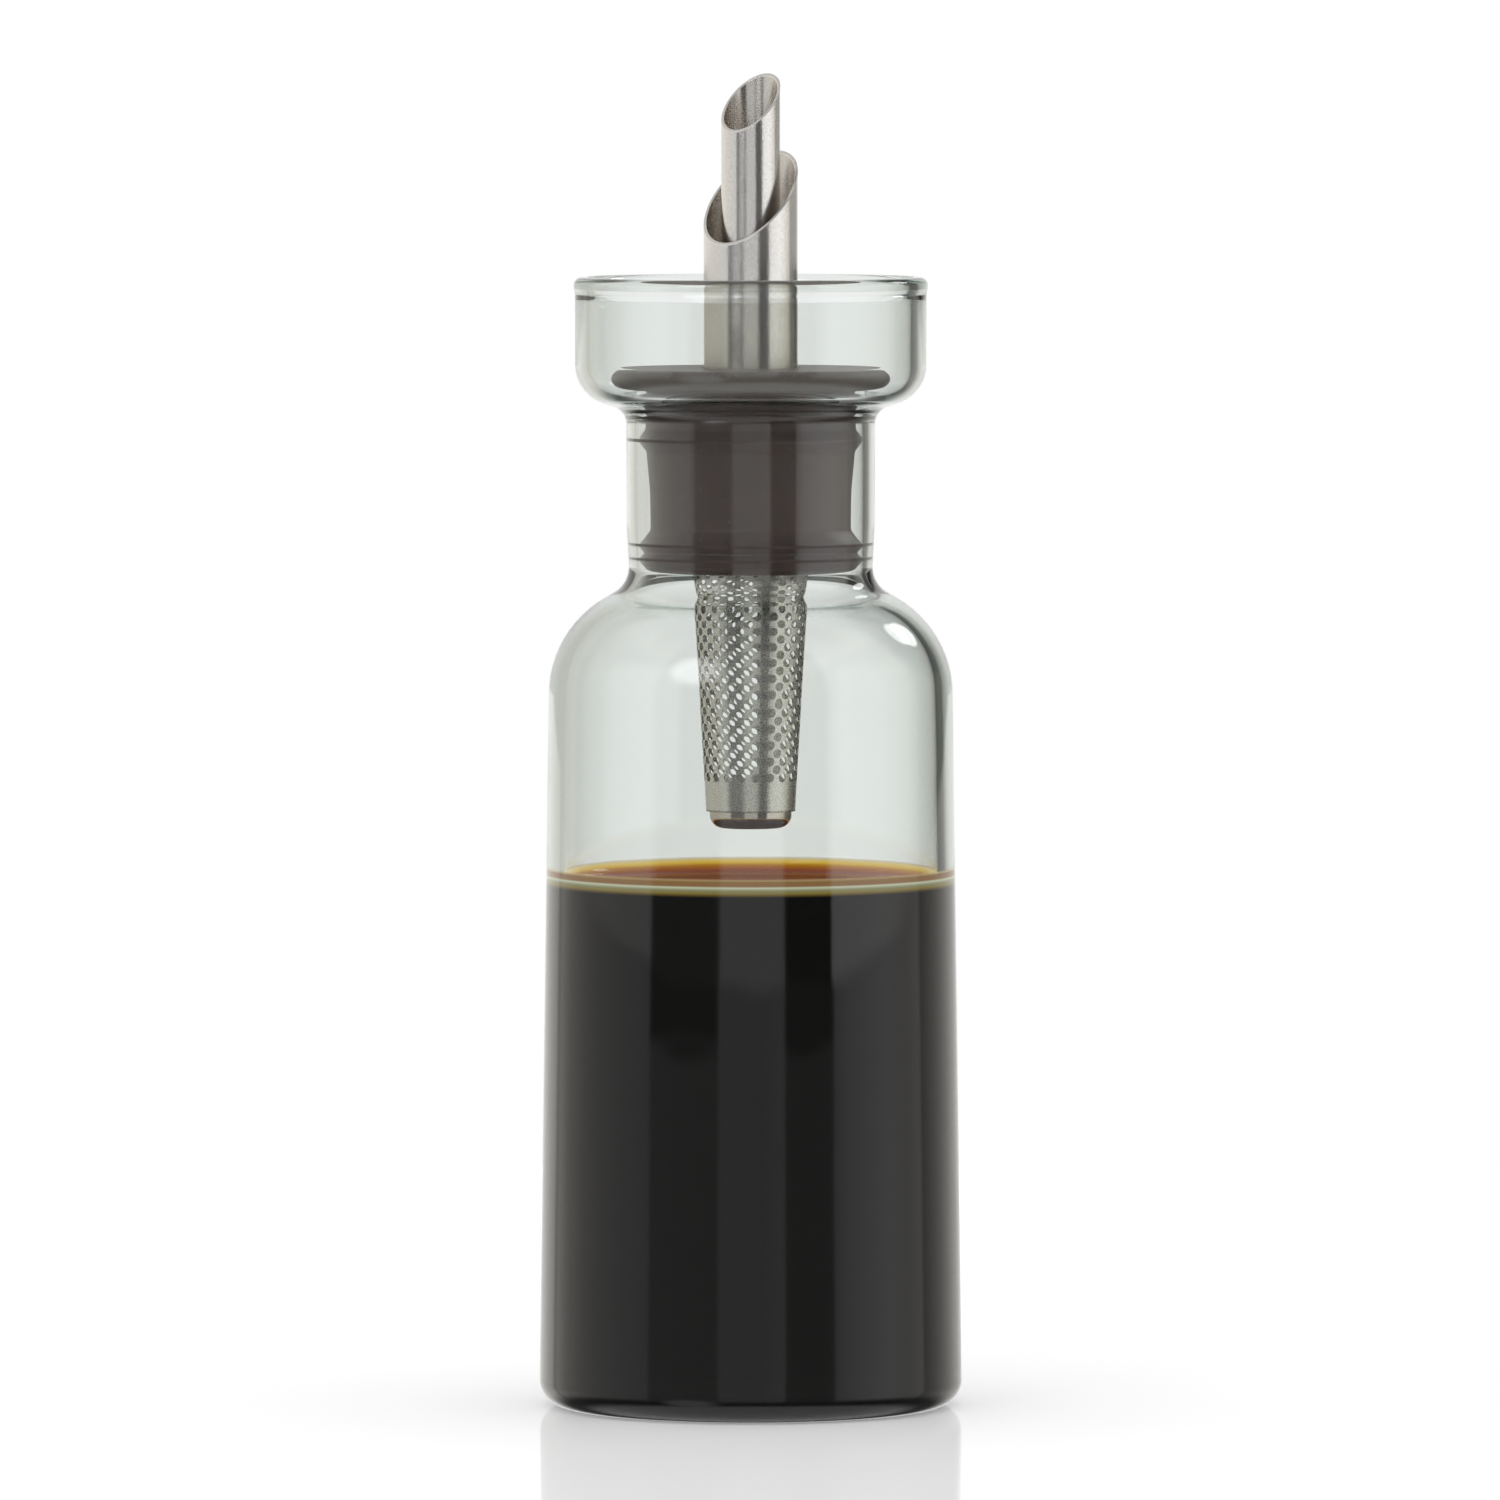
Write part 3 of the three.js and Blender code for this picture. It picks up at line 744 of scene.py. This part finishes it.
def steel(name, light, dark, roughness, relief_depth, brushed=0.0, grime_and_shade=None):
    """Metal whose colour, roughness and relief follow the speckle, with faint slanted scratches. Brushed
    metal smears what it mirrors across its marks, up and down. The last argument, if given, is (tint, low z,
    high z): the tint lies on the metal below the low height and is gone above the high one. On the tubes it
    is painted shade below the drip cup's rim, on the strainer grime in its joint."""
    material, tree, shader = new_finish(name, Metallic=1.0, Anisotropic=brushed, Anisotropic_Rotation=0.25)
    grain = placed(tree, SPECKLE, "Speckle", Scale=STEEL_GRAIN, Contrast=0.22)
    place = add(tree, "TexCoord").outputs["Object"]
    turn = {"Rotation": (0, SCRATCH_SLANT, 0), "Scale": SCRATCH_SCALE}
    slanted = add(tree, "Mapping", {"Vector": place, **turn}).outputs["Vector"]
    scratch = add(tree, "TexNoise", {"Vector": slanted, "Scale": 1.0, "Detail": 2.0})
    relief = add(tree, "Math", {0: grain, 1: scratch.outputs["Fac"]}, operation="ADD")
    base = blended(tree, grain, light, dark)
    # on the tubes this paints shade below the drip cup's rim; on the strainer it is grime in the joint
    if grime_and_shade:
        tint, low, high = grime_and_shade
        grime_and_shade_base = blended(tree, grain, tinted(light, tint), tinted(dark, tint))
        base = blended(tree, risen(tree, low, high), grime_and_shade_base, base)
    tree.links.new(base, shader["Base Color"])
    tree.links.new(ranged(tree, grain, *roughness), shader["Roughness"])
    bump = add(tree, "Bump", {"Height": relief.outputs[0], "Strength": 0.5, "Distance": relief_depth})
    tree.links.new(bump.outputs["Normal"], shader["Normal"])
    return material


print("steel grain:", STEEL_GRAIN, "per metre")

# %% Four steels
TUBE_COLOURS = ((0.86, 0.84, 0.81), (0.72, 0.70, 0.68))
TUBE_INSIDE = (0.93, 0.91, 0.88)
# painted shade: the tubes are darker and warmer below the rim of the drip cup, where less light reaches them
DRIP_CUP_SHADE = ((0.76, 0.74, 0.69), 188, 192)
SHEET_COLOURS = ((0.64, 0.62, 0.565), (0.61, 0.59, 0.535))
CUP_TINT = (0.84, 0.80, 0.77)
JOINT_GRIME = ((0.25, 0.23, 0.20), 101.4, 101.8)
INSIDE_COLOURS = [tinted(colour, TUBE_INSIDE) for colour in TUBE_COLOURS]
CUP_COLOURS = [tinted(colour, CUP_TINT) for colour in SHEET_COLOURS]

satin_steel = steel("satin_steel", *TUBE_COLOURS, (0.16, 0.26), 0.000014, brushed=0.95, grime_and_shade=DRIP_CUP_SHADE)
inside_steel = steel("inside_steel", *INSIDE_COLOURS, (0.22, 0.32), 0.00001, brushed=0.9)
strainer_steel = steel("strainer_steel", *SHEET_COLOURS, (0.24, 0.30), 0.0000022, grime_and_shade=JOINT_GRIME)
cup_steel = steel("cup_steel", *CUP_COLOURS, (0.10, 0.14), 0.000002)
wear(satin_steel, *spouts.values(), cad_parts["spout_carrier"])
wear(strainer_steel, sleeve)
wear(cup_steel, end_cup)
for tube in spouts.values():
    tube.data.materials.append(inside_steel)
    row = np.arange(len(tube.data.polygons)) // TUBE_AROUND
    tube.data.polygons.foreach_set("material_index", (row > TUBE_RINGS + 1).astype(np.int32))
print("steel:", [each.name for each in (satin_steel, inside_steel, strainer_steel, cup_steel)])

# %% [markdown]
# ## Studio
# The bottle stands on a white glossy table in front of a white wall. The bands on glass and steel show
# what stood round it: a broad white panel on each side and dark gaps between them. Lamps and cards
# could be set up, but the bands depend on exact angles, so the world is that room, a brightness by
# compass direction and height, and every shiny piece mirrors the same panels. A ring gives a level to
# each compass direction in degrees: 0 is the camera's side, 90 is to the right.

# %% Directions in the room
world = bpy.data.worlds.new("studio")
scene.world = world
world.use_nodes = True
room = world.node_tree
way = add(room, "TexCoord").outputs["Generated"]
axes = add(room, "SeparateXYZ", {"Vector": way}).outputs
front = add(room, "Math", {0: axes["Y"], 1: -1.0}, operation="MULTIPLY").outputs[0]
compass = add(room, "Math", {0: axes["X"], 1: front}, operation="ARCTAN2").outputs[0]
circle = {"From Min": -math.pi, "From Max": math.pi}
share = add(room, "MapRange", {"Value": compass, **circle}).outputs["Result"]
lift = add(room, "Math", {0: axes["Z"]}, operation="ARCSINE").outputs[0]
path = add(room, "LightPath").outputs


def eased(value, start, end):
    """0 at the start value and 1 at the end value, with soft ends."""
    ends = {"From Min": start, "From Max": end}
    return add(room, "MapRange", {"Value": value, **ends}, interpolation_type="SMOOTHSTEP").outputs["Result"]


def both(first, second):
    """Two masks multiplied."""
    return add(room, "Math", {0: first, 1: second}, operation="MULTIPLY").outputs[0]


def below(high, low, rays):
    """How far a ray of one kind looks down: 0 at the high angle in degrees and 1 at the low one."""
    return both(eased(lift, math.radians(high), math.radians(low)), path[rays])


print("world:", world.name)

# %% [markdown]
# The camera looks slightly down, so upright glass mirrors the room slightly below the horizon. The body
# mirrors lower than the neck and the drip cup, so it has a ring of its own, and in a narrow strip
# between the two rings the gaps are darkest. A ray that goes straight through the glass, with no mirror
# on its way, sees the upper ring with a light wall at the back right, where the mirrored room is dark.

# %% The rings of panels
BANDS = [
    (-180, 1.0), (-177, 0.99), (-173, 0.94), (-168, 0.86), (-161, 0.77), (-153, 0.68), (-143, 0.66),
    (-132, 0.82), (-100, 0.86), (-59, 0.86), (-56, 0.14), (-19, 0.14), (-16, 0.76), (18, 0.76),
    (20, 0.06), (45, 0.06), (47, 1.2), (80, 1.28), (96, 1.05), (108, 0.8), (112, 0.3), (136, 0.22),
    (140, 0.1), (150, 0.1), (154, 0.4), (160, 0.74), (167, 0.86), (173, 0.94), (177, 0.99), (180, 1.0),
]
LOW_BANDS = [
    (-180, 1.0), (-150, 1.25), (-139, 1.25), (-136, 0.75), (-132, 1.05), (-120, 0.86), (-100, 0.71),
    (-76, 0.61), (-59, 0.56), (-57, 0.3), (-19, 0.27), (-17, 0.5), (4, 0.46), (12, 0.51), (18, 0.57),
    (20, 0.21), (46, 0.21), (48, 0.58), (56, 0.76), (68, 0.88), (82, 0.96), (96, 0.79), (108, 0.79),
    (111, 0.42), (124, 0.6), (136, 0.8), (146, 0.95), (180, 1.0),
]
GAP_LEVEL, SHADED = 0.35, 0.1
SHADED_BANDS = [(degrees, SHADED if level < GAP_LEVEL else level) for degrees, level in LOW_BANDS]
OPEN_FROM, OPEN_TO, OPEN_SIDE = 105, 137, 0.88
OPEN_BANDS = [(degrees, OPEN_SIDE if OPEN_FROM <= degrees <= OPEN_TO else level) for degrees, level in BANDS]
SHADED_FROM, SHADED_TO = -1.85, -2.1
LOW_FROM, LOW_TO = -2.62, -2.78
WHITE = (1, 1, 1)
WARM = (1.0, 0.975, 0.92)
WARM_FROM, WARM_TO = 95, 165


def ring(bands):
    """Colour by compass direction. The back corners of the room are a little warm."""
    stops = []
    for degrees, level in bands:
        tint = WARM if WARM_FROM <= abs(degrees) <= WARM_TO else WHITE
        stops.append(((degrees + 180) / 360, (*(level * each for each in tint), 1)))
    return ramped(room, share, stops)["Color"]


panels = blended(room, below(SHADED_FROM, SHADED_TO, "Is Reflection Ray"), ring(BANDS), ring(SHADED_BANDS))
panels = blended(room, below(LOW_FROM, LOW_TO, "Is Reflection Ray"), panels, ring(LOW_BANDS))
unmirrored = add(room, "Math", {0: path["Glossy Depth"], 1: 0.5}, operation="LESS_THAN").outputs[0]
panels = blended(room, both(path["Is Transmission Ray"], unmirrored), panels, ring(OPEN_BANDS))
print(len(BANDS), "levels round the upper ring,", len(LOW_BANDS), "round the lower one")

# %% [markdown]
# Overhead is a dim ceiling, and far down is the floor and then the table top. A window in a dark frame
# stands at the back right, and a round soft lamp at the front left. The lamp's weaker image lies as far
# below the horizon, as the glossy table throws it back.

# %% Ceiling, floor, window and lamp
CEILING_FROM, CEILING_TO, CEILING = 42, 66, 0.45
FLOOR_FROM, FLOOR_TO, FLOOR_SEEN = -14, -30, 0.1
TABLE_FROM, TABLE_TO, TABLE_SEEN = -34, -48, 0.85
WINDOW_FRAME, FRAME_LEVEL = (135, 30, 27, 21), 0.08
WINDOW_PANE, PANE_LEVEL = (133, 29, 8, 6), 5
LAMP, LAMP_LIGHT, LAMP_IMAGE = (-36, 29, 18, 6), (3.2, 3.2, 3.3), 0.75


def grey(level):
    """A colour of one level."""
    return (level,) * 3


def disc(view, azimuth, elevation, outer, inner):
    """A round patch of the room: 1 within the inner angle from its middle, 0 beyond the outer one."""
    turn, rise = math.radians(azimuth), math.radians(elevation)
    middle = (math.sin(turn) * math.cos(rise), -math.cos(turn) * math.cos(rise), math.sin(rise))
    toward = add(room, "VectorMath", {0: view, 1: middle}, operation="DOT_PRODUCT").outputs["Value"]
    return eased(toward, math.cos(math.radians(outer)), math.cos(math.radians(inner)))


overhead = eased(lift, math.radians(CEILING_FROM), math.radians(CEILING_TO))
walls = blended(room, overhead, panels, grey(CEILING))
floor = blended(room, below(TABLE_FROM, TABLE_TO, "Is Glossy Ray"), grey(FLOOR_SEEN), grey(TABLE_SEEN))
walls = blended(room, below(FLOOR_FROM, FLOOR_TO, "Is Glossy Ray"), walls, floor)
walls = blended(room, disc(way, *WINDOW_FRAME), walls, grey(FRAME_LEVEL))
walls = blended(room, both(disc(way, *WINDOW_PANE), path["Is Glossy Ray"]), walls, grey(PANE_LEVEL))
steepness = add(room, "Math", {0: axes["Z"]}, operation="ABSOLUTE").outputs[0]
folded = add(room, "CombineXYZ", {"X": axes["X"], "Y": axes["Y"], "Z": steepness}).outputs["Vector"]
under = add(room, "Math", {0: axes["Z"], 1: 0.0}, operation="LESS_THAN").outputs[0]
lamp = blended(room, under, LAMP_LIGHT, grey(LAMP_IMAGE))
lit = blended(room, disc(folded, *LAMP), walls, lamp)
print("lamp at", LAMP[0], "degrees, window at", WINDOW_PANE[0])

# %% [markdown]
# Last comes what each kind of ray sees. Straight through the glass and down lies the white table. Light
# on matte surfaces comes from all round at one even level, so that colours come out about as they are
# written. The camera itself sees plain white behind the object.

# %% What each ray sees
THROUGH_FROM, THROUGH_TO, TABLE_THROUGH = -5.5, -8, 0.97
FILL = 0.95

steep = both(below(THROUGH_FROM, THROUGH_TO, "Is Transmission Ray"), unmirrored)
lit = blended(room, steep, lit, grey(TABLE_THROUGH))
scattered = add(room, "Math", {0: path["Diffuse Depth"], 1: 0.5}, operation="GREATER_THAN").outputs[0]
lit = blended(room, scattered, lit, grey(FILL))
shown = blended(room, path["Is Camera Ray"], lit, WHITE)
room.links.new(shown, room.nodes["Background"].inputs["Color"])
room.nodes["Background"].inputs["Strength"].default_value = 1.0
print(len(room.nodes), "nodes in the room")

# %% [markdown]
# The table is a plain square, matte white under a faint gloss that mirrors the bottle. Towards its edge
# it glows a little more, so that it runs out into the white wall. Rays that come off glass or steel
# pass through it, because the room has a floor of its own for them.

# %% The table
TABLE_HALF = 0.5
TABLE_WHITE = 0.9
TABLE_GLOSS, TABLE_ROUGHNESS = 0.29, 0.04
TABLE_GLOW, EDGE_GLOW = 0.215, 0.4
FADE_FROM, FADE_TO = 0.14, 0.48

table_mesh = bpy.data.meshes.new("table")
table_mesh.from_pydata([(-TABLE_HALF, -TABLE_HALF, 0), (TABLE_HALF, -TABLE_HALF, 0),
                        (TABLE_HALF, TABLE_HALF, 0), (-TABLE_HALF, TABLE_HALF, 0)], [], [(0, 1, 2, 3)])
table = bpy.data.objects.new("table", table_mesh)
scene.collection.objects.link(table)
white_table = bpy.data.materials.new("white_table")
white_table.use_nodes = True
tree = white_table.node_tree
tree.nodes.remove(tree.nodes["Principled BSDF"])
rays = add(tree, "LightPath").outputs
seen = add(tree, "Math", {0: rays["Is Camera Ray"], 1: rays["Is Transmission Ray"]}, operation="MAXIMUM")
spot = add(tree, "TexCoord").outputs["Object"]
away = add(tree, "VectorMath", {0: spot}, operation="LENGTH").outputs["Value"]
fade = {"From Min": FADE_FROM, "From Max": FADE_TO, "To Min": TABLE_GLOW, "To Max": EDGE_GLOW}
glow = add(tree, "MapRange", {"Value": away, **fade}, interpolation_type="SMOOTHSTEP").outputs["Result"]
glow = add(tree, "Math", {0: seen.outputs[0], 1: glow}, operation="MULTIPLY").outputs[0]
matte = add(tree, "BsdfDiffuse", {"Color": (*grey(TABLE_WHITE), 1)})
light = add(tree, "Emission", {"Strength": glow})
white = add(tree, "AddShader", {0: matte.outputs[0], 1: light.outputs[0]})
mirror = add(tree, "BsdfAnisotropic", {"Color": (*WHITE, 1), "Roughness": TABLE_ROUGHNESS})
glossy = add(tree, "MixShader", {0: TABLE_GLOSS, 1: white.outputs[0], 2: mirror.outputs[0]})
clear = add(tree, "BsdfTransparent")
surface = add(tree, "MixShader", {0: rays["Is Glossy Ray"], 1: glossy.outputs[0], 2: clear.outputs[0]})
tree.links.new(surface.outputs[0], tree.nodes["Material Output"].inputs["Surface"])
wear(white_table, table)
print("table:", 2 * TABLE_HALF, "m square")
